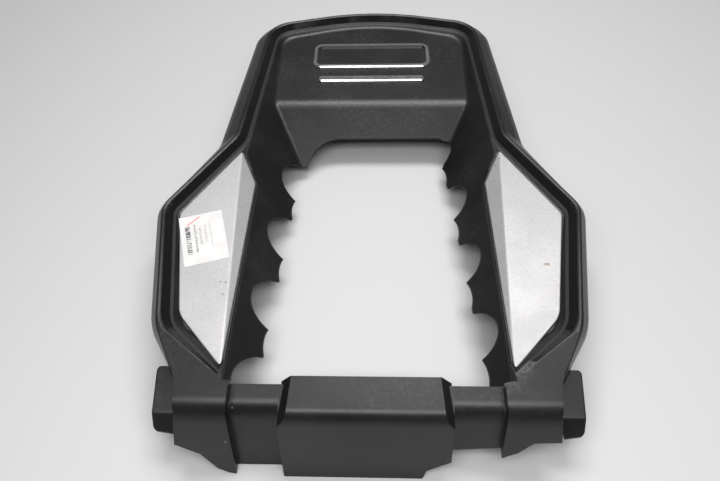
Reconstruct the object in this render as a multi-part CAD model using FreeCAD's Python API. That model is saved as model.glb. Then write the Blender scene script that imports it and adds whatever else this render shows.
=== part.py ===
import FreeCAD, Part
import math
import os

V = FreeCAD.Vector

# Engine cover, sizes in millimetres: X runs across the engine, +Y to the badge deck, +Z up.
# Every (x, y, radius) corner is on the right half and is mirrored to the left.

# levels and wall, and how far the wall's inner corners move in and down, as shares of the wall
RIM_Z = 86.0
BEVEL_DROP = 14.0
WALL = 2.6
RIM_TURN = 0.8
BEVEL_TURN = 0.4
SKIRT_DRAFT = 3.0

# crease of the rim, from the rear centre round the side to the front leg
REAR_Y = 296.0
REAR_R = 300.0
SHOULDER_X = 214.5
REAR_CORNER = (138.7, 262.7, 34.0)
NECK = (152.5, 38.0, 30.0)
SHOULDER = (SHOULDER_X, -70.0, 24.0)
HIP = (187.0, -209.0, 45.0)
CREASE_END = (120.0, -268.0, 1.0)
RIM_FLAT = 3.0
RIM_SOFT = 1.1
RIM_SOFT_LEAN = 64.0

# outer bevel: how far its foot lies outside the crease at each corner, and its own radius there
BEVEL_REAR = 13.0
BEVEL_CORNER = (21.3, 14.3, 50.0)
BEVEL_NECK = (25.5, -5.0, 26.0)
BEVEL_SHOULDER = (13.5, 1.0, 28.0)
BEVEL_HIP = (14.5, 4.0, 60.0)
BEVEL_SOFT = 6.0
BEVEL_SOFT_IN = 1.1
BEVEL_SOFT_DOWN = 0.5

# front legs
LEG_X = 164.0
LEG_Y = -256.0
LEG_R = 18.0
LEG_BEVEL = 2.0
LEG_TAPER = 13.0
LEG_FOOT_X = 172.0
LEG_TOP_Y = -215.0
LEG_EDGE_Y = -286.0
LEG_EDGE_Z = 76.0
LEG_EDGE_R = 14.0
FACE_LEAN = 21.5

# gloss band inside the rim
BAND_W = 9.5
BAND_DROP = 10.0
BAND_STEP = 0.6

# inner walls that fall to the opening
WELL_NECK = (152.6, 10.0, 400.0)
WELL_FRONT_X = 146.2
WELL_FOOT_Z = 5.0
WELL_CORNER_R = 20.0
WALL_SLOPE = 48.0
MITRE_R = 10.0
LEFT_TRIM = (17.0, 0.0665)
RIGHT_TRIM = (22.6, 0.0775)
TRIM_REAR_Y = 58.0

# rear edge of the opening, cut straight down through the deck's front face
ARCH_Y = 84.0
ARCH_LEFT = (-83.5, 45.0)
ARCH_RIGHT = (106.4, 15.0)
ARCH_TOOTH = (88.0, 42.6)
ARCH_FRONT_Y = 0.0

# badge deck
DECK_Y = 123.0
DECK_Z = 62.0
DECK_TILT = 4.2
DECK_EDGE_R = 14.0
DECK_FACE_LEAN = 57.5

# scallops between the fins: place of the rearmost, radius
PITCH = 90.0
SCALLOPS = 4
SCALLOP_SINK = 9.0
LEFT_SCALLOP = (23.0, 31.0)
RIGHT_SCALLOP = (74.5, 27.0)
FIN_HOLLOW = 2.5
FIN_HOLLOW_R = 46.0

# front cross bar with its raised block
BAR_HALF = 117.0
BAR_REAR_Y = -258.0
BAR_REAR_Z = 68.5
BAR_EDGE_Y = -282.0
BAR_EDGE_Z = 65.0
BAR_EDGE_R = 10.0
BAR_OVER = 8.0
BLOCK_HALF = 63.0
BLOCK_SIDE = 11.0
BLOCK_TOP_R = 4.0
BLOCK_REAR_Y = -254.0
BLOCK_REAR_Z = 78.5
BLOCK_REAR_R = 1.0
BLOCK_EDGE_Y = -291.0
BLOCK_EDGE_Z = 75.0
BLOCK_EDGE_R = 9.0
BLOCK_FACE_LEAN = 19.0
LOWER_EDGE = [(-166.0, 37.0), (-146.0, 26.0), (-133.0, 8.0), (-124.0, 3.0), (-118.0, 1.5), (-78.0, 1.5),
              (-72.0, 0.0), (50.0, 0.0), (53.0, 11.0), (65.0, 18.0), (76.0, 24.0), (118.0, 27.0),
              (130.0, 33.0), (142.0, 45.0), (166.0, 46.0)]
LOWER_EDGE_Y = -234.0

# box-like ears outside the legs
EAR_X = 192.0
EAR_REAR_Y = -236.0
EAR_FRONT_Y = -292.0
EAR_EDGE = 15.0
EAR_TURN = 3.5
EAR_TOP_Z = 54.0
EAR_FALL = 7.0
EAR_FOOT_Z = 32.0
EAR_R = 4.0

# silver trim panels with their hooked tabs
PANEL_INSET = 13.0
PANEL_X = 129.5
PANEL_HEAD = (146.0, 16.0)
PANEL_KNEE_Y = -19.0
PANEL_HIP = (177.0, -191.0, 28.0)
PANEL_SHOULDER_R = 13.0
PANEL_HEAD_R = 1.5
PANEL_TIP_R = 1.0
PANEL_KNEE_R = 2.0
PANEL_T = 3.0
PANEL_RIDGE_R = 5.0
HEAD_Z = 76.5
SHOULDER_Z = 75.5
KNEE_Z = 64.5
TIP_Z = 67.5
LIP_W = 2.5
LIP_DROP = 0.8
SEAT_GAP = 0.3
TAB_W = 10.0
TAB_T = 2.4
TAB_GAP = 0.2
TAB_HOOK = 1.3
TAB_HOOK_T = 1.2
TAB_TIP = 4.0
TABS = [(-152.0, -22.0), (-186.0, -82.0), (-150.0, -105.0), (-148.0, -200.0)]

# rubber grommets in sockets under the deck and the panels
GROMMETS = {"rear": (100.0, 212.0), "front": (168.0, -150.0)}
GROMMET_R = 11.0
GROMMET_H = 16.0
GROMMET_FLANGE_W = 28.0
GROMMET_FLANGE_T = 2.0
GROMMET_GAP = 0.1
STUD_R = 5.0
STUD_DEPTH = 13.0
SOCKET_Z = {"rear": 44.0, "front": 42.0}
SOCKET_WALL = 2.5
SOCKET_ROOF = 2.5
SOCKET_RIB = 24.0
SOCKET_RIB_UP = 4.0
RIB_T = 2.0

# ribs under the deck and behind the bar
DECK_RIBS = [-60.0, 0.0, 60.0]
DECK_RIB_H = 14.0
BAR_RIBS = [-100.0, -45.0, 0.0, 45.0, 100.0]
BAR_RIB_H = 16.0

# plain bright trim on the deck
BADGE_Y = 213.0
BADGE_W = 158.0
BADGE_L = 48.0
BADGE_R = 12.0
BADGE_RING = 5.0
BADGE_T = 3.0
BADGE_EDGE = 1.2
BADGE_BAR_Y = 167.0
BADGE_BAR_W = 140.0
BADGE_BAR_L = 10.0
BADGE_BAR_R = 4.5

# paper label on the left panel
LABEL_AT = (-170.0, -103.0)
LABEL_W = 45.0
LABEL_L = 63.0
LABEL_T = 0.3
LABEL_TURN = 17.0

# reach of the cutting shapes to the front, below the part and over the rim, their least radius,
# and how near two things are that meet
FRONT_Y = -340.0
UNDER = 30.0
OVER = 12.0
LEAST_R = 0.5
NEAR = 0.001


def mirrored(half):
    """Corner list of a closed outline, anticlockwise, from its half."""
    left = [(-x, y, r) for x, y, r in half]
    right = [(x, y, r) for x, y, r in reversed(half) if x > 0]
    return left + right


def grown(corners, d):
    """Corners moved outward by d, with corner radii that follow."""
    area = sum(p[0] * q[1] - q[0] * p[1] for p, q in zip(corners, corners[1:] + corners[:1]))
    turn = 1.0 if area > 0 else -1.0
    out = []
    for i, (x, y, r) in enumerate(corners):
        x0, y0, _ = corners[i - 1]
        x1, y1, _ = corners[(i + 1) % len(corners)]
        a = V(x - x0, y - y0, 0).normalize()
        b = V(x1 - x, y1 - y, 0).normalize()
        bulge = 1.0 if turn * (a.x * b.y - a.y * b.x) > 0 else -1.0
        na = V(a.y, -a.x, 0) * turn
        nb = V(b.y, -b.x, 0) * turn
        m = (na + nb) * (d / (1.0 + na.dot(nb)))
        out.append((x + m.x, y + m.y, r and max(r + bulge * d, LEAST_R)))
    return out


def between(one, two, share):
    """Corners part of the way from one outline to another."""
    return [tuple(p + (q - p) * share for p, q in zip(a, b)) for a, b in zip(one, two)]


def rounding(corners, z=0.0):
    """Start, middle and end of the arc at each corner; a corner of radius 0 stays sharp."""
    ends = []
    for i, (x, y, r) in enumerate(corners):
        p = V(x, y, z)
        if r == 0:
            ends.append((p, p, p))
            continue
        x0, y0, _ = corners[i - 1]
        x1, y1, _ = corners[(i + 1) % len(corners)]
        a = V(x0 - x, y0 - y, 0).normalize()
        b = V(x1 - x, y1 - y, 0).normalize()
        half = a.getAngle(b) / 2.0
        t = r / math.tan(half)
        mid = p + (a + b).normalize() * (r / math.sin(half) - r)
        ends.append((p + a * t, mid, p + b * t))
    return ends


def outline(ends):
    """Closed wire of the arcs and the lines between them."""
    edges = []
    for i, (s, m, e) in enumerate(ends):
        if s != e:
            edges.append(Part.Arc(s, m, e).toShape())
        edges.append(Part.makeLine(e, ends[(i + 1) % len(ends)][0]))
    return Part.Wire(edges)


def loft(*levels):
    """Solid through (corners, z) levels, flat wherever four corners lie in one plane."""
    rings = [rounding(corners, z) for corners, z in levels]
    faces = [Part.Face(outline(rings[0])), Part.Face(outline(rings[-1]))]
    for low, high in zip(rings, rings[1:]):
        for i in range(len(low)):
            arcs = [Part.Wire(Part.Arc(*ring[i]).toShape()) for ring in (low, high)]
            faces.append(Part.makeLoft(arcs, False, True).Faces[0])
            j = (i + 1) % len(low)
            a, b, c, d = low[i][2], low[j][0], high[j][0], high[i][2]
            off = abs((b - a).cross(d - a).normalize().dot(c - a))
            if off < 1e-6:
                faces.append(Part.Face(Part.makePolygon([a, b, c, d, a])))
            else:
                faces.append(Part.makeRuledSurface(Part.makeLine(a, b), Part.makeLine(d, c)))
    skin = Part.makeShell(faces)
    skin.sewShape()
    solid = Part.makeSolid(skin)
    if solid.Volume < 0:
        solid.reverse()
    return solid


def swept(points, place, run):
    """Solid with a closed section of (u, v, corner radius) points, laid out by place and swept by run."""
    ends = [tuple(place(p) for p in corner) for corner in rounding(points)]
    return Part.Face(outline(ends)).extrude(run)


def side_section(points, x0, x1):
    """Section of (y, z, radius) points swept across from x0 to x1."""
    return swept(points, lambda p: V(x0, p.x, p.y), V(x1 - x0, 0, 0))


def front_section(points, y0, y1):
    """Section of (x, z, radius) points swept from y0 to y1."""
    return swept(points, lambda p: V(p.x, y0, p.y), V(0, y1 - y0, 0))


def upright(corners, z0, z1):
    """Prism of (x, y, radius) corners from z0 to z1."""
    return swept(corners, lambda p: V(p.x, p.y, z0), V(0, 0, z1 - z0))


def box(x0, x1, y0, y1, z0, z1):
    return Part.makeBox(x1 - x0, y1 - y0, z1 - z0, V(x0, y0, z0))


def mirror(shape):
    return shape.mirror(V(0, 0, 0), V(1, 0, 0))


def both(shapes):
    return shapes + [mirror(s) for s in shapes]


def meet(p, q, r, s):
    """Point where the line through p and q meets the line through r and s, in plan."""
    d = (q[0] - p[0]) * (s[1] - r[1]) - (q[1] - p[1]) * (s[0] - r[0])
    t = ((r[0] - p[0]) * (s[1] - r[1]) - (r[1] - p[1]) * (s[0] - r[0])) / d
    return (p[0] + t * (q[0] - p[0]), p[1] + t * (q[1] - p[1]))


def middle(edge):
    return edge.valueAt((edge.FirstParameter + edge.LastParameter) / 2.0)


def on_both(edge, one, two):
    spot = Part.Vertex(middle(edge))
    return all(s.Shells[0].distToShape(spot)[0] < NEAR for s in (one, two))


def lean(degrees):
    return math.tan(math.radians(degrees))


# outlines of the rim, the bevel and the inner walls, and a reach past all of them
WIDE = 1.4 * SHOULDER_X
SIDE = [(0.0, REAR_Y, REAR_R), REAR_CORNER, NECK, SHOULDER, HIP]
STEPS = [(0.0, BEVEL_REAR, REAR_R), BEVEL_CORNER, BEVEL_NECK, BEVEL_SHOULDER, BEVEL_HIP]
BEVEL_SIDE = [(x + dx, y + dy, r) for (x, y, _), (dx, dy, r) in zip(SIDE, STEPS)]
CREASE = mirrored(SIDE + [CREASE_END])
RIM = grown(mirrored(SIDE + [(LEG_X - RIM_FLAT, LEG_Y, LEG_R),
                             (LEG_X - RIM_FLAT - LEG_TAPER, FRONT_Y, LEAST_R)]), RIM_FLAT)
BEVEL = mirrored(BEVEL_SIDE + [(LEG_X + LEG_BEVEL, LEG_Y, LEG_R),
                               (LEG_X + LEG_BEVEL - LEG_TAPER, FRONT_Y, LEAST_R)])
FOOT = mirrored(BEVEL_SIDE + [(LEG_FOOT_X, LEG_Y, LEG_R), (LEG_FOOT_X, FRONT_Y, LEAST_R)])
WELL = mirrored([(0.0, REAR_Y, REAR_R), REAR_CORNER[:2] + (WELL_CORNER_R,), WELL_NECK,
                 (WELL_FRONT_X, 2.0 * FRONT_Y, LEAST_R)])

# corners of the left panel
INSET = grown(CREASE, -PANEL_INSET)
KNEE = (-PANEL_X, PANEL_KNEE_Y)
TIP = meet(INSET[4], INSET[5], KNEE, (-PANEL_X, 0.0))
HEAD = meet(INSET[2], INSET[3], (-PANEL_HEAD[0], PANEL_HEAD[1]), KNEE)
PANEL = [HEAD + (PANEL_HEAD_R,), INSET[3][:2] + (PANEL_SHOULDER_R,), (-PANEL_HIP[0],) + PANEL_HIP[1:],
         TIP + (PANEL_TIP_R,), KNEE + (PANEL_KNEE_R,)]
HEAD_P = V(HEAD[0], HEAD[1], HEAD_Z)
SHOULDER_P = V(INSET[3][0], INSET[3][1], SHOULDER_Z)
TIP_P = V(TIP[0], TIP[1], TIP_Z)
KNEE_P = V(KNEE[0], KNEE[1], KNEE_Z)


def hull(g):
    """Outer envelope under the skirt, bevel and rim, moved inward by g."""
    foot = 0.0 if g == 0 else -UNDER
    skirt, low, high = grown(FOOT, SKIRT_DRAFT - g), grown(BEVEL, -g), grown(RIM, -RIM_TURN * g)
    z = RIM_Z - BEVEL_DROP - BEVEL_TURN * g
    if g == 0:
        up = BEVEL_SOFT / math.hypot(BEVEL_SHOULDER[0], BEVEL_DROP)
        over = 1.0 - up * RIM_SOFT / BEVEL_SOFT
        soft = [(between(low, skirt, BEVEL_SOFT / z), z - BEVEL_SOFT),
                (grown(low, -BEVEL_SOFT_IN), z - BEVEL_SOFT_DOWN),
                (between(low, high, up), z + up * BEVEL_DROP),
                (between(low, high, over), z + over * BEVEL_DROP), (grown(high, -RIM_SOFT), RIM_Z)]
    else:
        soft = [(low, z), (high, RIM_Z - g)]
    main = loft((skirt, foot), *soft)
    slope = (RIM_Z - LEG_EDGE_Z) / (LEG_TOP_Y - LEG_EDGE_Y)
    front = [(LEG_TOP_Y + UNDER, RIM_Z + UNDER * slope, 0), (LEG_EDGE_Y, LEG_EDGE_Z, LEG_EDGE_R),
             (LEG_EDGE_Y - lean(FACE_LEAN) * (LEG_EDGE_Z + UNDER), -UNDER, 0),
             (2.0 * FRONT_Y, -UNDER, 0), (2.0 * FRONT_Y, 2.0 * RIM_Z, 0), (LEG_TOP_Y + UNDER, 2.0 * RIM_Z, 0)]
    return main.cut(side_section(grown(front, g), -WIDE, WIDE))


def crease_cone(side, pitch, low, high):
    """Space inside a slope that passes the rim's level at side from the crease, from low to high."""
    return loft(*[(grown(CREASE, side + pitch * (z - RIM_Z)), z) for z in (low, high)])


def band_cone(g, depth):
    """Space inside the gloss band, carried down to depth below the rim."""
    pitch = BAND_W / BAND_DROP
    side = g * (math.hypot(1.0, pitch) + pitch)
    return crease_cone(side, pitch, RIM_Z - depth - g, RIM_Z + OVER - g)


def deck_z(y):
    return DECK_Z + (y - DECK_Y) * lean(DECK_TILT)


def bowl(g):
    """Space over the deck and between the inner walls, grown by g."""
    slope = lean(WALL_SLOPE)
    low, high, top = WELL_FOOT_Z, RIM_Z + UNDER, RIM_Z - BAND_DROP
    edge = g / math.sin(math.radians(WALL_SLOPE)) - BAND_W - BAND_STEP
    well = loft((grown(WELL, edge - (top - low) / slope), low),
                (grown(WELL, edge + (high - top) / slope), high))
    front, rear = FRONT_Y - UNDER, REAR_Y + UNDER
    foot = DECK_Y - lean(DECK_FACE_LEAN) * (DECK_Z - low + UNDER)
    profile = [(front, low - UNDER, 0), (foot, low - UNDER, 0), (DECK_Y, DECK_Z, DECK_EDGE_R),
               (rear, deck_z(rear), 0), (rear, high + UNDER, 0), (front, high + UNDER, 0)]
    prow = side_section(grown(profile, g), -WIDE, WIDE)
    space = well.common(prow)
    if g == 0:
        seam = [e for e in space.Edges if on_both(e, well, prow) and middle(e).y > ARCH_FRONT_Y]
        space = space.makeFillet(MITRE_R, seam)
    return space


def over_plane(p, q, r, drop):
    """Thick slab over the plane through three points, lowered by drop."""
    n = (q - p).cross(r - p).normalize()
    if n.z < 0:
        n = n * -1.0
    slab = Part.makeBox(4.0 * WIDE, 4.0 * WIDE, WIDE, V(-2.0 * WIDE, -2.0 * WIDE, 0.0))
    slab.Placement = FreeCAD.Placement((p + q + r) * (1.0 / 3.0) - n * drop, FreeCAD.Rotation(V(0, 0, 1), n))
    return slab


def over_facets(drop):
    """Space over the two facets of the left panel, with the facets lowered by drop."""
    return over_plane(HEAD_P, SHOULDER_P, TIP_P, drop).fuse(over_plane(HEAD_P, KNEE_P, TIP_P, drop))


def panel_zone(g):
    """Plan area of the left panel and its lip, out over the band."""
    area = [HEAD + (0,), (-WIDE, HEAD[1], 0), (-WIDE, FRONT_Y, 0), (KNEE[0], FRONT_Y, 0), KNEE + (0,)]
    return upright(grown(area, LIP_W + g), 0.0, 2.0 * RIM_Z)


def bar_space(g):
    """Space over the side bars between the legs, and in front of them."""
    rise = (BAR_REAR_Z - BAR_EDGE_Z) / (BAR_REAR_Y - BAR_EDGE_Y)
    back = BAR_REAR_Y + BAR_OVER
    section = [(back, BAR_EDGE_Z + rise * (back - BAR_EDGE_Y), 0), (BAR_EDGE_Y, BAR_EDGE_Z, BAR_EDGE_R),
               (BAR_EDGE_Y - lean(FACE_LEAN) * (BAR_EDGE_Z + UNDER), -UNDER, 0), (2.0 * FRONT_Y, -UNDER, 0),
               (2.0 * FRONT_Y, 2.0 * RIM_Z, 0), (back, 2.0 * RIM_Z, 0)]
    return side_section(grown(section, g), -BAR_HALF - g, BAR_HALF + g)


def block(g):
    """Raised middle of the cross bar."""
    foot = 0.0 if g == 0 else -UNDER
    toe = BLOCK_EDGE_Y - lean(BLOCK_FACE_LEAN) * (BLOCK_EDGE_Z - foot)
    profile = [(BLOCK_REAR_Y, foot, 0), (BLOCK_REAR_Y, BLOCK_REAR_Z, BLOCK_REAR_R),
               (BLOCK_EDGE_Y, BLOCK_EDGE_Z, BLOCK_EDGE_R), (toe, foot, 0)]
    wide = BLOCK_HALF + BLOCK_SIDE
    top = BLOCK_REAR_Z + BLOCK_REAR_R
    face = [(-wide, foot, 0), (wide, foot, 0), (wide, BAR_EDGE_Z, 0), (BLOCK_HALF, top, BLOCK_TOP_R),
            (-BLOCK_HALF, top, BLOCK_TOP_R), (-wide, BAR_EDGE_Z, 0)]
    side = side_section(grown(profile, -g), -BAR_HALF, BAR_HALF)
    return side.common(front_section(grown(face, -g), FRONT_Y, BAR_REAR_Y + UNDER))


def ear(g):
    """Left ear, a drafted box outside the leg."""
    foot = EAR_FOOT_Z if g == 0 else -UNDER
    inner = LEG_X - LEG_BEVEL * 2.0
    plan = [(-inner, EAR_REAR_Y - g, 0), (-EAR_X + g, EAR_REAR_Y - g, EAR_R),
            (-EAR_X + EAR_TURN + g, EAR_FRONT_Y + g + EAR_TURN, EAR_R), (-inner, EAR_FRONT_Y + g, 0)]
    over = [(EAR_REAR_Y + UNDER, EAR_TOP_Z, 0), (EAR_REAR_Y, EAR_TOP_Z, 0),
            (EAR_FRONT_Y + EAR_EDGE, EAR_TOP_Z - EAR_FALL, EAR_R),
            (EAR_FRONT_Y, EAR_FOOT_Z, 0), (FRONT_Y, EAR_FOOT_Z, 0),
            (FRONT_Y, 2.0 * RIM_Z, 0), (EAR_REAR_Y + UNDER, 2.0 * RIM_Z, 0)]
    return upright(plan, foot, RIM_Z).cut(side_section(grown(over, g), -WIDE, 0.0))


def body(g):
    """Solid under the outer skin, moved inward by g."""
    main = hull(g).cut(bar_space(g)).fuse([block(g)] + both([ear(g)]))
    zone = panel_zone(g)
    well = bowl(g).common(box(-WIDE, WIDE, BAR_REAR_Y - g, 2.0 * REAR_Y, -UNDER, 2.0 * RIM_Z))
    deep = 3.0 * BAND_DROP
    if g == 0:
        well = well.cut(both([zone]) + [block(0)])
        panels = [band_cone(0, deep).common(zone).common(over_facets(LIP_DROP)),
                  upright(grown(PANEL, SEAT_GAP), 0.0, 2.0 * RIM_Z).common(over_facets(PANEL_T))]
    else:
        panels = [band_cone(g, deep).common(zone).common(over_facets(PANEL_T + g))]
    bar = box(-BAR_HALF, BAR_HALF, FRONT_Y, BAR_REAR_Y + BAR_OVER, -UNDER, 2.0 * RIM_Z)
    bands = [band_cone(g, BAND_DROP)]
    if g == 0:
        bands.append(crease_cone(RIM_SOFT, lean(RIM_SOFT_LEAN), RIM_Z - 2.0 * RIM_SOFT, RIM_Z + OVER))
    return main.cut(both(panels) + [b.cut(bar) for b in bands] + [well])


def trims():
    """What is cut away: the opening, the scallops between the fins, and under the front edge."""
    arch = [(ARCH_LEFT[0], ARCH_Y, ARCH_LEFT[1]), (ARCH_RIGHT[0], ARCH_Y, ARCH_RIGHT[1]),
            ARCH_TOOTH + (0,), (ARCH_TOOTH[0], ARCH_FRONT_Y, 0), (ARCH_LEFT[0], ARCH_FRONT_Y, 0)]
    cuts = [upright(arch, -UNDER, RIM_Z)]
    start = BAR_REAR_Y - WALL - BAND_W
    reach = BAR_HALF + BAND_W
    clear = box(-WIDE, WIDE, BAR_REAR_Y, REAR_Y, -2.0 * UNDER, RIM_Z)
    walls = [(-1.0, LEFT_TRIM, LEFT_SCALLOP), (1.0, RIGHT_TRIM, RIGHT_SCALLOP)]
    for side, (level, fall), (first, radius) in walls:
        under = [(start, -UNDER, 0), (start, level - fall * start, 0),
                 (TRIM_REAR_Y, level - fall * TRIM_REAR_Y, 0), (TRIM_REAR_Y, -UNDER, 0)]
        cuts.append(side_section(under, side * reach, 0.0))
        for k in range(SCALLOPS):
            for y, r, rise in ((first - k * PITCH, radius, radius - SCALLOP_SINK),
                               (first - (k + 0.5) * PITCH, FIN_HOLLOW_R, FIN_HOLLOW)):
                spot = V(0.0, y, level - fall * y + rise - r)
                cuts.append(Part.makeCylinder(r, reach, spot, V(side, 0, 0)).common(clear))
    ends = [(-WIDE, -UNDER), (-WIDE, EAR_FOOT_Z), (-LEG_FOOT_X, EAR_FOOT_Z)]
    foot = ends + LOWER_EDGE + [(-x, z) for x, z in reversed(ends)]
    cuts.append(front_section([(x, z, 0) for x, z in foot], 2.0 * FRONT_Y, LOWER_EDGE_Y))
    return cuts


def socket(x, y, z):
    """Square cup for a grommet with its mouth at z, carried by crossed ribs, and the cup's bore."""
    roof = z + GROMMET_H + SOCKET_ROOF
    r = GROMMET_R + GROMMET_GAP
    half = r + SOCKET_WALL
    cup = box(x - half, x + half, y - half, y + half, z, roof)
    foot = z + SOCKET_RIB_UP
    ribs = [box(x - SOCKET_RIB, x + SOCKET_RIB, y - RIB_T / 2, y + RIB_T / 2, foot, RIM_Z),
            box(x - RIB_T / 2, x + RIB_T / 2, y - SOCKET_RIB, y + SOCKET_RIB, foot, RIM_Z)]
    return cup.fuse(ribs), Part.makeCylinder(r, GROMMET_H, V(x, y, z))


def grommet(x, y, z):
    """Rubber grommet with a square flange and a blind bore for a ball stud, its seat at z."""
    half, foot = GROMMET_FLANGE_W / 2.0, z - GROMMET_FLANGE_T
    plug = Part.makeCylinder(GROMMET_R, GROMMET_H, V(x, y, z))
    flange = box(x - half, x + half, y - half, y + half, foot, z)
    return plug.fuse(flange).cut(Part.makeCylinder(STUD_R, STUD_DEPTH, V(x, y, foot)))


def under_ribs():
    """Stiffening ribs under the deck and behind the bar, still running through the skin."""
    ribs = []
    for x in DECK_RIBS:
        rear = REAR_Y + BEVEL_REAR
        rib = [(DECK_Y, deck_z(DECK_Y) - DECK_RIB_H, 0), (rear, deck_z(rear) - DECK_RIB_H, 0),
               (rear, RIM_Z, 0), (DECK_Y, RIM_Z, 0)]
        ribs.append(side_section(rib, x - RIB_T / 2, x + RIB_T / 2))
    for x in BAR_RIBS:
        ribs.append(box(x - RIB_T / 2, x + RIB_T / 2, FRONT_Y, BAR_REAR_Y, BAR_EDGE_Z - BAR_RIB_H, RIM_Z))
    return ribs


def on_facet(shape, x, y, turn=0.0):
    """Shape drawn on the XY plane, set on the left panel's outer facet over the plan point."""
    n = (SHOULDER_P - HEAD_P).cross(TIP_P - HEAD_P).normalize()
    z = HEAD_P.z - (n.x * (x - HEAD_P.x) + n.y * (y - HEAD_P.y)) / n.z
    spin = FreeCAD.Rotation(V(0, 0, 1), turn)
    out = shape.copy()
    out.Placement = FreeCAD.Placement(V(x, y, z), FreeCAD.Rotation(V(0, 0, 1), n).multiply(spin))
    return out


def tabs():
    """Hooked tabs of the left panel, which catch under the floor of its seat."""
    half, seat = TAB_T / 2.0, -PANEL_T - WALL
    root, catch = -PANEL_T / 2.0, half + TAB_HOOK
    hook = [(-half, root, 0), (half, root, 0), (half, seat, 0), (catch, seat, 0),
            (catch, seat - TAB_HOOK_T, 0), (0.0, seat - TAB_TIP, 0), (-half, seat - TAB_TIP, 0)]
    tab = front_section(hook, -TAB_W / 2.0, TAB_W / 2.0)
    return [on_facet(tab, x, y) for x, y in TABS]


def slots():
    """Slots in the floor of the left seat that the tabs pass through."""
    wide, thick = TAB_W / 2.0 + TAB_GAP, TAB_T / 2.0 + TAB_GAP
    slot = box(-thick, thick, -wide, wide, -PANEL_T - 2.0 * WALL, 0.0)
    return [on_facet(slot, x, y) for x, y in TABS]


def panel():
    """Left trim panel: two facets of even thickness, with hooked tabs under it."""
    skin = upright(PANEL, 0.0, 2.0 * RIM_Z).cut(over_facets(0.0)).common(over_facets(PANEL_T))
    ridge = Part.makeLine(HEAD_P, TIP_P)
    rounded = [e for e in skin.Edges if ridge.distToShape(Part.Vertex(middle(e)))[0] < NEAR]
    return skin.makeFillet(PANEL_RIDGE_R, rounded).fuse(tabs())


def on_deck(shape, y):
    """Shape drawn on the XY plane, set on the deck at y."""
    out = shape.copy()
    out.Placement = FreeCAD.Placement(V(0, y, deck_z(y)), FreeCAD.Rotation(V(1, 0, 0), DECK_TILT))
    return out


def bright_plate(w, length, r):
    """Rounded plate with a chamfered upper edge."""
    half = [(w / 2.0, length / 2.0, r), (w / 2.0, -length / 2.0, r)]
    plan = mirrored(half)
    return loft((plan, 0.0), (plan, BADGE_T - BADGE_EDGE), (grown(plan, -BADGE_EDGE), BADGE_T))


def badge_frame():
    hole = mirrored([(BADGE_W / 2.0 - BADGE_RING, BADGE_L / 2.0 - BADGE_RING, BADGE_R - BADGE_RING),
                     (BADGE_W / 2.0 - BADGE_RING, -BADGE_L / 2.0 + BADGE_RING, BADGE_R - BADGE_RING)])
    return on_deck(bright_plate(BADGE_W, BADGE_L, BADGE_R).cut(upright(hole, -UNDER, UNDER)), BADGE_Y)


def cover_shell():
    shell = body(0).cut(body(WALL)).cut(trims())
    inside = body(WALL / 2.0)
    sockets = []
    bores = []
    for name, (x, y) in GROMMETS.items():
        cup, bore = socket(-x, y, SOCKET_Z[name])
        sockets += both([cup.common(inside)])
        bores += both([bore])
    ribs = [r.common(inside) for r in under_ribs()]
    return shell.fuse(sockets + ribs).cut(bores + both(slots()))


def main():
    nodes = {"cover_shell": cover_shell(), "left_trim_insert": panel(), "right_trim_insert": mirror(panel())}
    for name, (x, y) in GROMMETS.items():
        nodes["grommet_" + name + "_left"] = grommet(-x, y, SOCKET_Z[name])
        nodes["grommet_" + name + "_right"] = grommet(x, y, SOCKET_Z[name])
    nodes["badge_frame"] = badge_frame()
    nodes["badge_bar"] = on_deck(bright_plate(BADGE_BAR_W, BADGE_BAR_L, BADGE_BAR_R), BADGE_BAR_Y)
    paper = Part.makeBox(LABEL_W, LABEL_L, LABEL_T, V(-LABEL_W / 2.0, -LABEL_L / 2.0, 0.0))
    nodes["paper_label"] = on_facet(paper, LABEL_AT[0], LABEL_AT[1], LABEL_TURN)
    os.makedirs("parts", exist_ok=True)
    rear = outline(rounding(grown(FOOT, SKIRT_DRAFT))).BoundBox.YMax
    front = BLOCK_EDGE_Y - lean(BLOCK_FACE_LEAN) * BLOCK_EDGE_Z
    centre = V(0.0, -(rear + front) / 2.0, 0.0)
    for name, shape in nodes.items():
        shape.translate(centre)
        shape.exportStep("parts/" + name + ".step")


main()
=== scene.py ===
"""Looks of a moulded engine cover: finishes for its pieces, a pale floor, soft light and a camera."""

import logging
import math
from dataclasses import dataclass
from enum import Enum
from typing import Any, Protocol

import bpy
from mathutils import Euler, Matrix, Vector


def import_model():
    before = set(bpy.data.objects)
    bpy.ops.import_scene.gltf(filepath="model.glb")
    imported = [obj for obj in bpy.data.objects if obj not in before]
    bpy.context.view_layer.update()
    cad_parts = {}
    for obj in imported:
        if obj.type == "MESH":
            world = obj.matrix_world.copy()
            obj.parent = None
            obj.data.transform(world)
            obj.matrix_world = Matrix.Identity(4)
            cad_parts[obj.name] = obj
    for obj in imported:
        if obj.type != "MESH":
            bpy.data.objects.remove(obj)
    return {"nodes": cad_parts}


LOG = logging.getLogger("engine_cover")
MM = 0.001
EDGE_SAMPLES = 8
Colour = tuple[float, float, float]
Place = tuple[float, ...]
Span = tuple[float, float]


class ShellFinish(Enum):
    """Finishes that share the moulded shell, in the order of its material slots."""

    GRAIN = 0
    GLOSS = 1


class Axis(Enum):
    """Axes of the row frame, by the names of their sockets."""

    ACROSS = "X"
    ALONG = "Y"
    UP = "Z"


class Passage(Enum):
    """Ways in which a value goes from one end to another, by their names in the node."""

    EVEN = "LINEAR"
    SMOOTH = "SMOOTHSTEP"


@dataclass(frozen=True)
class Noise:
    """Soft noise around a half.

    Attributes:
        size: Width of its grains, in metres.
        detail: Octaves of finer noise.
        rough: How strong the finer octaves are.
        stretch: How much longer the grains are along each axis.
    """

    size: float
    detail: float = 3.0
    rough: float = 0.55
    stretch: Place = (1.0, 1.0, 1.0)


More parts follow.
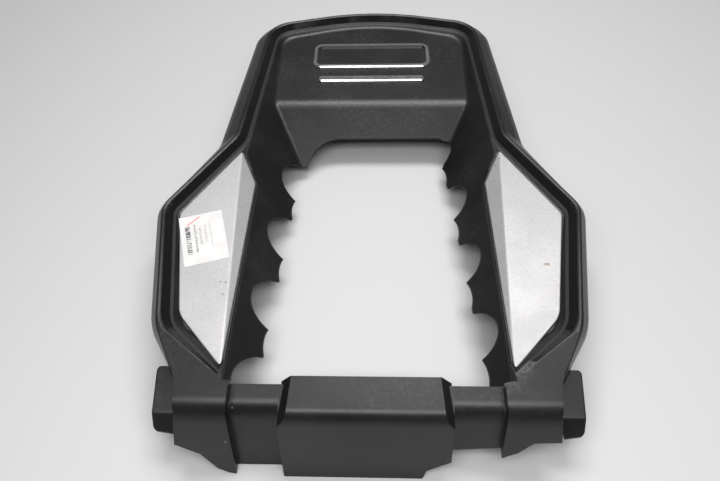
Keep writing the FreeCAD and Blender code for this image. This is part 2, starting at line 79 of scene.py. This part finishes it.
class Value:
    """A socket in a shader, which takes part in sums like a number."""

    def __init__(self, shader: "Shader", socket: bpy.types.NodeSocket) -> None:
        """Keep the shader that the socket belongs to."""
        self.shader = shader
        self.socket = socket

    def _sum(self, operation: str, first: Any, second: Any) -> "Value":
        """Add one Math node and give its result."""
        return self.shader.add("ShaderNodeMath", {"operation": operation}, {0: first, 1: second})

    def __add__(self, other: Any) -> "Value":
        """Sum of two values."""
        return self._sum("ADD", self, other)

    __radd__ = __add__

    def __mul__(self, other: Any) -> "Value":
        """Product of two values."""
        return self._sum("MULTIPLY", self, other)

    __rmul__ = __mul__

    def __sub__(self, other: Any) -> "Value":
        """This value less another."""
        return self._sum("SUBTRACT", self, other)

    def __rsub__(self, other: Any) -> "Value":
        """Another value less this one."""
        return self._sum("SUBTRACT", other, self)

    def __or__(self, other: Any) -> "Value":
        """The larger of two values."""
        return self._sum("MAXIMUM", self, other)

    __ror__ = __or__


class Shader:
    """One material, with a way to add its nodes."""

    def __init__(self, name: str) -> None:
        """Start a material that holds only its surface shader."""
        self.material = bpy.data.materials.new(name)
        self.material.use_nodes = True
        self.tree = self.material.node_tree
        self.surface = self.tree.nodes["Principled BSDF"]

    def put(self, node: bpy.types.Node, sockets: dict[Any, Any]) -> None:
        """Fill a node's inputs.

        Args:
            node: The node to fill.
            sockets: Input names or places, with a number, a colour or a Value for each.
        """
        for key, value in sockets.items():
            if isinstance(value, Value):
                self.tree.links.new(value.socket, node.inputs[key])
            elif value is not None:
                node.inputs[key].default_value = value

    def add(self, kind: str, settings: dict[str, Any], sockets: dict[Any, Any], out: Any = 0) -> Value:
        """Add a node of any kind.

        Args:
            kind: The node's type.
            settings: Its own properties, set before its sockets.
            sockets: Its inputs, as in put.
            out: Name or place of the output to give back.

        Returns:
            The chosen output.
        """
        node = self.tree.nodes.new(kind)
        for key, value in settings.items():
            setattr(node, key, value)
        self.put(node, sockets)
        return Value(self, node.outputs[out])

    def dress(self, **sockets: Any) -> bpy.types.Material:
        """Fill the surface shader's inputs, with _ for a space in a name, and give the material."""
        self.put(self.surface, {key.replace("_", " "): value for key, value in sockets.items()})
        return self.material

    def place(self) -> Value:
        """Where a point lies in the row frame, in metres."""
        return self.add("ShaderNodeTexCoord", {}, {}, "Object")

    def facing(self) -> Value:
        """Which way a face looks."""
        return self.add("ShaderNodeNewGeometry", {}, {}, "Normal")

    def axis(self, vector: Value, axis: Axis) -> Value:
        """One number of a vector."""
        return self.add("ShaderNodeSeparateXYZ", {}, {0: vector}, axis.value)

    def upward(self) -> Value:
        """How far a face looks up, from -1 to 1."""
        return self.axis(self.facing(), Axis.UP)

    def height(self) -> Value:
        """How high a point lies above the floor, in metres."""
        return self.axis(self.place(), Axis.UP)

    def vector(self, operation: str, first: Any, second: Any, out: Any = 0) -> Value:
        """Add one Vector Math node and give its result."""
        return self.add("ShaderNodeVectorMath", {"operation": operation}, {0: first, 1: second}, out)

    def noise(self, noise: Noise) -> Value:
        """Add a noise that stays put in the row frame.

        Args:
            noise: Its size and kind.

        Returns:
            The noise.
        """
        spot = self.vector("DIVIDE", self.place(), tuple(noise.size * s for s in noise.stretch))
        sockets = {"Vector": spot, "Scale": 1.0, "Detail": noise.detail, "Roughness": noise.rough}
        return self.add("ShaderNodeTexNoise", {}, sockets)

    def remap(
            self, passage: Passage, value: Value,
            low: float, high: float, start: float, end: float) -> Value:
        """Value from start to end as another goes from low to high, held at both ends.

        Args:
            passage: How it goes from one end to the other.
            value: The other value.
            low: Where the other value starts.
            high: Where the other value ends.
            start: What to give at low.
            end: What to give at high.

        Returns:
            The new value.
        """
        sockets = {"Value": value, "From Min": low, "From Max": high, "To Min": start, "To Max": end}
        return self.add("ShaderNodeMapRange", {"interpolation_type": passage.value}, sockets)

    def straight(self, value: Value, low: float, high: float, start: float, end: float) -> Value:
        """Even passage from start to end as a value goes from low to high."""
        return self.remap(Passage.EVEN, value, low, high, start, end)

    def between(self, value: Value, low: float, high: float, start: float = 0.0, end: float = 1.0) -> Value:
        """Smooth passage from start to end as a value goes from low to high."""
        return self.remap(Passage.SMOOTH, value, low, high, start, end)

    def within(self, value: Value, span: Span, blur: float, unit: float = 1.0) -> Value:
        """Mask that is 1 where a value lies in a span.

        Args:
            value: The value.
            span: Where the mask starts and ends.
            blur: How far each end fades to either side.
            unit: What span and blur are measured in.

        Returns:
            The mask.
        """
        start, end, fade = span[0] * unit, span[1] * unit, blur * unit
        return self.between(value, start - fade, start + fade) * self.between(value, end + fade, end - fade)

    def blend(self, share: Any, one: Any, two: Any) -> Value:
        """Colour or vector from one to two by a share, through the Mix node's sockets for colours."""
        return self.add("ShaderNodeMix", {"data_type": "RGBA"}, {0: share, 6: one, 7: two}, 2)

    def spot(self, place: Place, radius: float, core: float = 0.7, edge: float = 0.4) -> Value:
        """Ragged round spot seen from above, 1 inside it and 0 outside.

        Args:
            place: Its middle, in millimetres.
            radius: Its radius, in millimetres.
            core: How far out it is at its full strength, as a share of the radius.
            edge: How ragged it is, as a share of the radius.

        Returns:
            The spot's mask.
        """
        plan = self.vector("MULTIPLY", self.place(), (1.0, 1.0, 0.0))
        far = self.vector("DISTANCE", plan, (place[0] * MM, place[1] * MM, 0.0), "Value")
        ragged = far + (self.noise(Noise(radius * MM, 2.0)) - 0.5) * (2.0 * edge * radius * MM)
        return self.between(ragged, radius * MM, core * radius * MM)

    def spots(self, places: tuple[Place, ...], radius: float, core: float = 0.7) -> Value:
        """Mask of several spots of one size.

        Args:
            places: Their middles, in millimetres.
            radius: Their radius, in millimetres.
            core: How far out they are at their full strength, as a share of the radius.

        Returns:
            The mask of all of them.
        """
        mask = self.spot(places[0], radius, core)
        for place in places[1:]:
            mask = mask | self.spot(place, radius, core)
        return mask

    def edge(self, radius: float) -> Value:
        """Normal that is rounded near the edges of a piece."""
        return self.add("ShaderNodeBevel", {"samples": EDGE_SAMPLES}, {"Radius": radius})

    def bump(self, height: Value, depth: float, strength: float = 1.0, over: Value | None = None) -> Value:
        """Normal from a height, laid over another normal if one is given."""
        sockets = {"Height": height, "Distance": depth, "Strength": strength, "Normal": over}
        return self.add("ShaderNodeBump", {}, sockets)


def opaque(colour: Colour) -> tuple[float, float, float, float]:
    """Colour with full cover, as a socket takes it."""
    return (*colour, 1.0)


class Finish(Protocol):
    """Anything that can make a piece's material."""

    def material(self) -> bpy.types.Material:
        """Make the material."""


@dataclass(frozen=True)
class SoftEdge:
    """Straight edge across the shell that is shaded as if it turned over a wider strip.

    Attributes:
        strip: Where the turn starts at the front and ends at the rear, in millimetres.
        leans: How far the faces at those two ends lean to the front, in degrees.
        sides: How far from the middle line the edge starts and ends, in millimetres.
        reach: Between which places along the cover it may act, in millimetres.
        blur: How far the ends of sides and reach fade, in millimetres.
        past: Loss of cosine of a face that looks past the two leans, for none and all of the effect.
        aside: Square of a face's sideways lean, for none and all of the effect.
    """

    strip: Span
    leans: Span
    sides: Span
    reach: Span
    blur: float = 0.3
    past: Span = (0.12, 0.03)
    aside: Span = (0.06, 0.01)

    def over(self, made: Shader, normal: Value) -> Value:
        """Lay the edge over a normal.

        Args:
            made: The shader that it is for.
            normal: The normal elsewhere.

        Returns:
            The normal that leans evenly from front to rear along the edge's strip.
        """
        front, rear = (math.radians(lean) for lean in self.leans)
        start, end = (place * MM for place in self.strip)
        across = made.axis(made.place(), Axis.ACROSS)
        along = made.axis(made.place(), Axis.ALONG)
        lean = made.straight(along, start, end, -math.sin(front), -math.sin(rear))
        rise = made.straight(along, start, end, math.cos(front), math.cos(rear))
        turned = made.add("ShaderNodeCombineXYZ", {}, {Axis.ALONG.value: lean, Axis.UP.value: rise})
        turned = made.vector("NORMALIZE", turned, None)
        mean = (front + rear) / 2.0
        limit = math.cos((front - rear) / 2.0)
        middle = (0.0, -math.sin(mean), math.cos(mean))
        look = made.vector("DOT_PRODUCT", made.facing(), middle, "Value")
        sideways = made.axis(made.facing(), Axis.ACROSS)
        share = made.between(look, limit - self.past[0], limit - self.past[1])
        share = share * made.between(sideways * sideways, *self.aside)
        share = share * made.within(across | across * -1.0, self.sides, self.blur, MM)
        return made.blend(share * made.within(along, self.reach, self.blur, MM), normal, turned)


FRONT_REACH: Span = (-330.0, -245.0)
DECK_EDGE = SoftEdge(strip=(121.0, 136.6), leans=(32.5, 4.2), sides=(-1.0, 128.0), reach=(98.0, 182.0))
BLOCK_EDGE = SoftEdge(strip=(-288.8, -275.2), leans=(71.0, 5.4), sides=(-1.0, 74.5), reach=FRONT_REACH)
BAR_EDGE = SoftEdge(strip=(-281.0, -263.7), leans=(68.5, 8.3), sides=(74.5, 116.3), reach=FRONT_REACH)
LEG_EDGE = SoftEdge(strip=(-286.1, -267.1), leans=(68.5, 8.0), sides=(116.3, 166.0), reach=FRONT_REACH)


@dataclass(frozen=True)
class GrainedPlastic:
    """Black moulded plastic with a fine matte grain, light dust and a few scuffs.

    A ramp is the stretch of a noise over which a change comes in, and a share is how strong it gets. Places
    and sizes of single marks are in millimetres, seen from above.
    """

    black: Colour = (0.0065, 0.0060, 0.0065)
    faded: Colour = (0.0115, 0.0105, 0.0112)
    fade_ramp: Span = (0.35, 0.7)
    dust: Colour = (0.085, 0.080, 0.078)
    dust_ramp: Span = (0.42, 0.68)
    dust_up: Span = (0.2, 0.9)
    dust_speck: Span = (0.4, 0.75)
    dust_share: float = 0.22
    scuff: Colour = (0.16, 0.155, 0.15)
    scuff_hair: Noise = Noise(1.1 * MM, 1.0, 0.5, (26.0, 2.0, 2.0))
    scuff_line: Span = (0.74, 0.79)
    scuff_ramp: Span = (0.5, 0.62)
    scuff_share: float = 0.3
    pale: Colour = (0.42, 0.41, 0.40)
    pale_up: Span = (0.1, 0.5)
    ticks: tuple[Place, ...] = ((-113.6, -272.7), (-121.0, -294.3))
    tick_size: float = 0.8
    tick_share: float = 0.4
    dusty: tuple[Place, ...] = ((119.0, -258.0), (125.0, -253.0), (131.0, -248.0), (137.0, -243.0))
    dusty_size: float = 9.0
    dusty_speck: Span = (0.35, 0.65)
    dusty_share: Span = (0.02, 0.08)
    grain: Noise = Noise(0.8 * MM, 2.0, 0.6)
    grain_depth: float = 0.07 * MM
    grain_strength: float = 0.55
    mottle: Noise = Noise(3.2 * MM, 3.0, 0.6)
    mottle_depth: float = 0.4
    mottle_roughness: float = 0.6
    cloud: Noise = Noise(70.0 * MM, 4.0)
    rough_ramp: Span = (0.3, 0.7)
    roughness: Span = (0.31, 0.41)
    specular: float = 0.43
    edge: float = 2.2 * MM
    soft_edges: tuple[SoftEdge, ...] = (DECK_EDGE, BLOCK_EDGE, BAR_EDGE, LEG_EDGE)

    def rounded(self, made: Shader) -> Value:
        """Normal with every edge softened, and the wide front edges more so.

        Args:
            made: The shader that it is for.

        Returns:
            The normal.
        """
        normal = made.edge(self.edge)
        for soft in self.soft_edges:
            normal = soft.over(made, normal)
        return normal

    def material(self) -> bpy.types.Material:
        """Make the material.

        Returns:
            The grained plastic with its dust, scuffs and marks.
        """
        made = Shader("grained_plastic")
        grain = made.noise(self.grain)
        mottle = made.noise(self.mottle)
        cloud = made.noise(self.cloud)
        base = made.blend(made.between(cloud, *self.fade_ramp), opaque(self.black), opaque(self.faded))
        lying = made.between(made.upward(), *self.dust_up) * made.between(cloud, *self.dust_ramp)
        dust = lying * made.between(mottle, *self.dust_speck, 0.0, self.dust_share)
        base = made.blend(dust, base, opaque(self.dust))
        hair = made.noise(self.scuff_hair)
        scuffs = made.between(hair, *self.scuff_line) * made.between(cloud, *self.scuff_ramp)
        base = made.blend(scuffs * self.scuff_share, base, opaque(self.scuff))
        film = made.between(mottle, *self.dusty_speck, *self.dusty_share)
        film = made.spots(self.dusty, self.dusty_size, 0.0) * film
        marks = made.spots(self.ticks, self.tick_size) * self.tick_share | film
        base = made.blend(marks * made.between(made.upward(), *self.pale_up), base, opaque(self.pale))
        worn = mottle * self.mottle_roughness + grain * (1.0 - self.mottle_roughness)
        rough = made.between(worn, *self.rough_ramp, *self.roughness)
        pores = grain + mottle * self.mottle_depth
        normal = made.bump(pores, self.grain_depth, self.grain_strength, self.rounded(made))
        return made.dress(Base_Color=base, Roughness=rough, Specular_IOR_Level=self.specular, Normal=normal)


@dataclass(frozen=True)
class GlossBand:
    """Polished black plastic with a dusty front end and a lighter grey strip at its foot: a matte finish,
    with a painted highlight standing in for light caught by a ledge.

    A ramp is the stretch of a noise over which a change comes in, and a share is how strong it gets. Places
    and sizes of single marks are in millimetres, seen from above.
    """

    black: Colour = (0.0045, 0.004, 0.0043)
    dust: Colour = (0.30, 0.29, 0.28)
    dusty: tuple[Place, ...] = ((124.0, -254.0), (136.0, -243.0))
    dusty_size: float = 13.0
    dusty_speck: Span = (0.36, 0.68)
    dusty_share: Span = (0.12, 0.5)
    stray_speck: Span = (0.70, 0.78)
    stray_share: float = 0.25
    # Lighter grey of the band's foot is a painted highlight for light caught by a ledge.
    matte_lip_and_highlight: Colour = (0.030, 0.029, 0.030)
    lip_top: float = 78.4 * MM
    lip_fade: float = 0.2 * MM
    lip_haze: float = 0.6
    speck: Noise = Noise(1.5 * MM, 3.0, 0.6)
    cloud: Noise = Noise(26.0 * MM, 4.0)
    rough_ramp: Span = (0.35, 0.7)
    roughness: Span = (0.07, 0.22)
    film_roughness: float = 0.6
    wave: Noise = Noise(7.0 * MM, 2.0)
    wave_depth: float = 0.03 * MM
    wave_strength: float = 0.4
    edge: float = 1.0 * MM

    def material(self) -> bpy.types.Material:
        """Make the material.

        Returns:
            The polished plastic with its dust and its matte foot, made lighter grey as a painted highlight.
        """
        made = Shader("gloss_band")
        speck = made.noise(self.speck)
        cloud = made.noise(self.cloud)
        end = made.spots(self.dusty, self.dusty_size)
        film = end * made.between(speck, *self.dusty_speck, *self.dusty_share)
        film = film | made.between(speck, *self.stray_speck, 0.0, self.stray_share)
        # Painted highlight: the band's foot below lip_top turns lighter grey; the added haze on its
        # roughness is its real matte finish.
        matte_lip_and_highlight = made.between(made.height(), self.lip_top + self.lip_fade, self.lip_top)
        base = made.blend(matte_lip_and_highlight, opaque(self.black), opaque(self.matte_lip_and_highlight))
        rough = made.between(cloud, *self.rough_ramp, *self.roughness)
        wave = made.noise(self.wave)
        return made.dress(
            Base_Color=made.blend(film, base, opaque(self.dust)),
            Roughness=rough + (film | matte_lip_and_highlight * self.lip_haze) * self.film_roughness,
            Normal=made.bump(wave, self.wave_depth, self.wave_strength, made.edge(self.edge)))


@dataclass(frozen=True)
class SilverPaint:
    """Satin silver paint with a fine flake, a few dark flecks and a rust mark.

    A ramp is the stretch of a noise over which a change comes in, and a share is how strong it gets. Places
    and sizes of single marks are in millimetres, seen from above.
    """

    silver: Colour = (0.45, 0.44, 0.445)
    shade: Colour = (0.345, 0.336, 0.341)
    flake: Noise = Noise(0.55 * MM, 1.0)
    flake_share: float = 0.7
    flake_ramp: Span = (0.36, 0.64)
    flake_depth: float = 0.02 * MM
    flake_strength: float = 0.35
    flake_roughness: float = 0.08
    soft: Noise = Noise(2.4 * MM)
    cloud: Noise = Noise(45.0 * MM)
    rough_ramp: Span = (0.3, 0.7)
    roughness: Span = (0.42, 0.50)
    metal: float = 0.45
    metal_lost: float = 0.4
    dark: Colour = (0.05, 0.045, 0.045)
    flecks: tuple[Place, ...] = (
        (-143.9, -149.6), (-138.6, -150.2), (-139.5, -163.3), (147.1, 13.4), (141.8, 5.6))
    fleck_size: float = 1.0
    fleck_share: float = 0.85
    rust: Colour = (0.27, 0.21, 0.15)
    rusty: tuple[Place, ...] = ((173.4, -128.6), (175.2, -128.8), (177.0, -129.0))
    rust_size: float = 1.8
    rust_share: float = 0.8
    edge: float = 1.6 * MM

    def material(self) -> bpy.types.Material:
        """Make the material.

        Returns:
            The silver paint with its marks.
        """
        made = Shader("silver_paint")
        flake = made.noise(self.flake)
        soft = made.noise(self.soft)
        cloud = made.noise(self.cloud)
        glitter = flake * self.flake_share + soft * (1.0 - self.flake_share)
        glitter = made.between(glitter, *self.flake_ramp)
        base = made.blend(glitter, opaque(self.shade), opaque(self.silver))
        flecks = made.spots(self.flecks, self.fleck_size)
        base = made.blend(flecks * self.fleck_share, base, opaque(self.dark))
        rust = made.spots(self.rusty, self.rust_size)
        base = made.blend(rust * self.rust_share, base, opaque(self.rust))
        rough = made.between(cloud, *self.rough_ramp, *self.roughness)
        return made.dress(
            Base_Color=base,
            Metallic=self.metal - (flecks | rust) * self.metal_lost,
            Roughness=rough + flake * self.flake_roughness,
            Normal=made.bump(flake, self.flake_depth, self.flake_strength, made.edge(self.edge)))


@dataclass(frozen=True)
class PrintedColumn:
    """Faint column of print on the label, in millimetres from the label's middle."""

    across: float
    run: Span
    share: float
    half: float = 1.0


@dataclass(frozen=True)
class LabelPaper:
    """White paper label with plain printed bars and a pale red stroke.

    The label's middle is in millimetres in the row frame, its turn is in degrees, and the print is placed in
    millimetres from that middle.
    """

    middle: Place = (-170.0, -97.6, 73.6)
    turn: float = 17.0
    white: Colour = (0.68, 0.67, 0.66)
    cream: Colour = (0.63, 0.615, 0.60)
    cloud: Noise = Noise(14.0 * MM)
    cloud_ramp: Span = (0.35, 0.7)
    ink: Colour = (0.06, 0.058, 0.06)
    ink_share: float = 0.85
    strips_across: Span = (-17.5, -12.5)
    strips_run: Span = (-18.0, 18.0)
    strip: Noise = Noise(1.5 * MM, 1.0, 0.5, (8.0, 1.0, 8.0))
    strip_ramp: Span = (0.42, 0.55)
    columns: tuple[PrintedColumn, ...] = (
        PrintedColumn(-7.5, (-17.0, 19.0), 0.75), PrintedColumn(-2.5, (-8.0, 14.0), 0.45),
        PrintedColumn(3.0, (-8.0, 16.0), 0.3), PrintedColumn(8.0, (-14.0, 20.0), 0.22))
    print_grain: Noise = Noise(1.6 * MM, 1.0)
    print_ramp: Span = (0.38, 0.52)
    red: Colour = (0.75, 0.16, 0.14)
    red_share: float = 0.8
    stroke_across: Span = (-47.5, -44.5)
    stroke_run: Span = (19.5, 28.0)
    stroke_slant: float = 1.6
    blur: float = 0.25
    fibre: Noise = Noise(0.8 * MM, 4.0)
    fibre_depth: float = 0.02 * MM
    fibre_strength: float = 0.4
    rough_ramp: Span = (0.3, 0.7)
    roughness: Span = (0.6, 0.75)
    specular: float = 0.3

    def bar(self, made: Shader, across: Value, along: Value, width: Span, run: Span) -> Value:
        """Printed bar in the label's own frame.

        Args:
            made: The shader that it is for.
            across: Millimetres across the label from its middle.
            along: Millimetres up the label from its middle.
            width: Where the bar starts and ends across.
            run: Where it starts and ends along.

        Returns:
            The bar's mask.
        """
        return made.within(across, width, self.blur) * made.within(along, run, self.blur)

    def printed(self, made: Shader, across: Value, along: Value) -> Value:
        """Dark print: a block of strips and some faint columns.

        Args:
            made: The shader that it is for.
            across: Millimetres across the label from its middle.
            along: Millimetres up the label from its middle.

        Returns:
            The print's mask.
        """
        strips = made.between(made.noise(self.strip), *self.strip_ramp)
        ink = self.bar(made, across, along, self.strips_across, self.strips_run) * strips
        for column in self.columns:
            width = (column.across - column.half, column.across + column.half)
            run = self.bar(made, across, along, width, column.run)
            worn = made.between(made.noise(self.print_grain), *self.print_ramp)
            ink = ink | run * worn * column.share
        return ink

    def material(self) -> bpy.types.Material:
        """Make the material.

        Returns:
            The paper with its print.
        """
        made = Shader("label_paper")
        fibre = made.noise(self.fibre)
        cloud = made.noise(self.cloud)
        base = made.blend(made.between(cloud, *self.cloud_ramp), opaque(self.white), opaque(self.cream))
        centred = made.vector("SUBTRACT", made.place(), tuple(p * MM for p in self.middle))
        turning = {"Vector": centred, "Angle": math.radians(-self.turn)}
        turned = made.add("ShaderNodeVectorRotate", {"rotation_type": "Z_AXIS"}, turning)
        own = made.vector("DIVIDE", turned, (MM, MM, MM))
        across = made.axis(own, Axis.ACROSS)
        along = made.axis(own, Axis.ALONG)
        ink = self.printed(made, across, along) * self.ink_share
        base = made.blend(ink, base, opaque(self.ink))
        slant = across - along * self.stroke_slant
        stroke = self.bar(made, slant, along, self.stroke_across, self.stroke_run)
        base = made.blend(stroke * self.red_share, base, opaque(self.red))
        return made.dress(
            Base_Color=base,
            Roughness=made.between(fibre, *self.rough_ramp, *self.roughness),
            Specular_IOR_Level=self.specular,
            Normal=made.bump(fibre, self.fibre_depth, self.fibre_strength))


@dataclass(frozen=True)
class ChromePlate:
    """Bright plating, slightly hazed."""

    bright: Colour = (0.80, 0.80, 0.81)
    worn: Colour = (0.60, 0.59, 0.59)
    worn_ramp: Span = (0.48, 0.75)
    haze: Noise = Noise(6.0 * MM, 4.0)
    rough_ramp: Span = (0.35, 0.7)
    roughness: Span = (0.10, 0.24)
    ripple: Noise = Noise(0.6 * MM, 2.0)
    ripple_depth: float = 0.01 * MM
    ripple_strength: float = 0.3

    def material(self) -> bpy.types.Material:
        """Make the material.

        Returns:
            The hazed plating.
        """
        made = Shader("chrome_plate")
        haze = made.noise(self.haze)
        worn = made.between(haze, *self.worn_ramp)
        return made.dress(
            Base_Color=made.blend(worn, opaque(self.bright), opaque(self.worn)),
            Roughness=made.between(haze, *self.rough_ramp, *self.roughness),
            Metallic=1.0,
            Normal=made.bump(made.noise(self.ripple), self.ripple_depth, self.ripple_strength))


@dataclass(frozen=True)
class SoftRubber:
    """Dull black rubber with a pale bloom."""

    black: Colour = (0.012, 0.012, 0.013)
    bloom: Colour = (0.04, 0.039, 0.038)
    bloom_cloud: Noise = Noise(4.0 * MM, 4.0)
    bloom_ramp: Span = (0.42, 0.7)
    rough_ramp: Span = (0.3, 0.7)
    roughness: Span = (0.68, 0.85)
    specular: float = 0.35
    pore: Noise = Noise(0.5 * MM, 2.0)
    pore_depth: float = 0.03 * MM
    pore_strength: float = 0.5

    def material(self) -> bpy.types.Material:
        """Make the material.

        Returns:
            The dull rubber.
        """
        made = Shader("soft_rubber")
        cloud = made.noise(self.bloom_cloud)
        bloom = made.between(cloud, *self.bloom_ramp)
        return made.dress(
            Base_Color=made.blend(bloom, opaque(self.black), opaque(self.bloom)),
            Roughness=made.between(cloud, *self.rough_ramp, *self.roughness),
            Specular_IOR_Level=self.specular,
            Normal=made.bump(made.noise(self.pore), self.pore_depth, self.pore_strength))


@dataclass
class CoverShell:
    """The moulded shell with its polished band.

    Attributes:
        node: The shell.
        grain: Finish of the moulding.
        gloss: Finish of the band inside the rim.
        band_foot: Height that the band lies above, in metres.
        band_head: Height that the middle of its faces lies below, in metres.
        band_up: How far its faces look up, from least to most.
        axis_half: How far the middle line that the band faces runs to either end, in metres.
    """

    node: bpy.types.Object
    grain: GrainedPlastic = GrainedPlastic()
    gloss: GlossBand = GlossBand()
    band_foot: float = 75.5 * MM
    band_head: float = 84.0 * MM
    band_up: Span = (0.35, 0.97)
    axis_half: float = 150.0 * MM

    def on_band(self, face: bpy.types.MeshPolygon) -> bool:
        """Whether a face belongs to the sloping band inside the rim.

        Args:
            face: A face of the shell.

        Returns:
            True where the face looks in towards the middle line, between the band's foot and head.
        """
        lowest = min(self.node.data.vertices[i].co.z for i in face.vertices)
        level = lowest > self.band_foot and face.center.z < self.band_head
        beside = max(-self.axis_half, min(self.axis_half, face.center.y))
        inward = Vector((0.0, beside, face.center.z)) - face.center
        sloping = self.band_up[0] < face.normal.z < self.band_up[1]
        return level and sloping and face.normal.dot(inward) > 0.0

    def dress(self) -> None:
        """Give the shell its two finishes."""
        mesh = self.node.data
        mesh.materials.clear()
        finishes = {ShellFinish.GRAIN: self.grain, ShellFinish.GLOSS: self.gloss}
        for kind in ShellFinish:
            mesh.materials.append(finishes[kind].material())
        for face in mesh.polygons:
            kind = ShellFinish.GLOSS if self.on_band(face) else ShellFinish.GRAIN
            face.material_index = kind.value


@dataclass
class FittedPieces:
    """Pieces that take one finish all over."""

    nodes: list[bpy.types.Object]
    finish: Finish

    def dress(self) -> None:
        """Give each piece the finish."""
        material = self.finish.material()
        for node in self.nodes:
            node.data.materials.clear()
            node.data.materials.append(material)


@dataclass(frozen=True)
class Softbox:
    """Rectangular light, with its place, aim and size in metres and its power in watts."""

    name: str
    place: Place
    aim: Place
    size: Span
    watts: float

    def hang(self) -> None:
        """Make the light and turn it to its aim."""
        data = bpy.data.lights.new(self.name, "AREA")
        data.shape = "RECTANGLE"
        data.size, data.size_y = self.size
        data.energy = self.watts
        lamp = bpy.data.objects.new(self.name, data)
        lamp.location = self.place
        lamp.rotation_euler = (Vector(self.aim) - Vector(self.place)).to_track_quat("-Z", "Y").to_euler()
        bpy.context.scene.collection.objects.link(lamp)


@dataclass
class Studio:
    """Pale floor, soft light and the camera, which stands where the cover was looked at from.

    The camera's place, lens and sensor are in millimetres and its turn in degrees. The floor is in metres.
    """

    camera_at: Place = (10.986, -436.987, 522.499)
    camera_turn: Place = (36.83, 1.511, 1.286)
    lens: float = 27.55
    sensor: float = 36.0
    clip_start: float = 0.01
    floor: float = 12.0
    paint: Colour = (0.56, 0.56, 0.565)
    paint_roughness: float = 0.85
    sky: Colour = (0.95, 0.97, 1.0)
    sky_strength: float = 0.18
    lights: tuple[Softbox, ...] = (
        Softbox("rear_softbox", (0.10, 0.50, 1.50), (0.05, 0.1, 0.0), (1.15, 0.42), 19.0),
        Softbox("front_softbox", (0.0, -0.46, 0.75), (0.0, -0.28, 0.05), (0.8, 0.28), 4.8),
        Softbox("room_light", (0.0, 0.6, 5.0), (0.0, 0.0, 0.0), (6.0, 6.0), 40.0))

    def build(self) -> None:
        """Make the floor, the lights, the sky and the camera."""
        self.make_floor()
        for light in self.lights:
            light.hang()
        self.make_sky()
        self.make_camera()
        bpy.context.scene.view_settings.view_transform = "Standard"

    def make_floor(self) -> None:
        """Lay the floor under the cover."""
        half = self.floor / 2.0
        ring = [(-half, -half, 0.0), (half, -half, 0.0), (half, half, 0.0), (-half, half, 0.0)]
        mesh = bpy.data.meshes.new("floor")
        mesh.from_pydata(ring, [], [(0, 1, 2, 3)])
        paint = Shader("floor_paint").dress(Base_Color=opaque(self.paint), Roughness=self.paint_roughness)
        mesh.materials.append(paint)
        floor = bpy.data.objects.new("floor", mesh)
        bpy.context.scene.collection.objects.link(floor)

    def make_sky(self) -> None:
        """Fill the room with weak even light."""
        world = bpy.data.worlds.new("studio")
        world.use_nodes = True
        background = world.node_tree.nodes["Background"]
        background.inputs["Color"].default_value = opaque(self.sky)
        background.inputs["Strength"].default_value = self.sky_strength
        bpy.context.scene.world = world

    def make_camera(self) -> None:
        """Set up the camera."""
        data = bpy.data.cameras.new("camera")
        data.lens = self.lens
        data.sensor_width = self.sensor
        data.clip_start = self.clip_start
        camera = bpy.data.objects.new("camera", data)
        camera.location = Vector(self.camera_at) * MM
        camera.rotation_euler = Euler([math.radians(a) for a in self.camera_turn])
        bpy.context.scene.collection.objects.link(camera)
        bpy.context.scene.camera = camera


def main() -> None:
    """Dress each piece and set up the studio."""
    logging.basicConfig(level=logging.INFO)
    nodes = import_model()["nodes"]
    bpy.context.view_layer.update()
    CoverShell(nodes["cover_shell"]).dress()
    groups = [
        FittedPieces([nodes["left_trim_insert"], nodes["right_trim_insert"]], SilverPaint()),
        FittedPieces([nodes["paper_label"]], LabelPaper()),
        FittedPieces([nodes["badge_frame"], nodes["badge_bar"]], ChromePlate()),
        FittedPieces([n for name, n in nodes.items() if name.startswith("grommet_")], SoftRubber()),
    ]
    for group in groups:
        group.dress()
    for name, node in nodes.items():
        LOG.info("%s: %d faces", name, len(node.data.polygons))
    Studio().build()


if __name__ == "__main__":
    main()
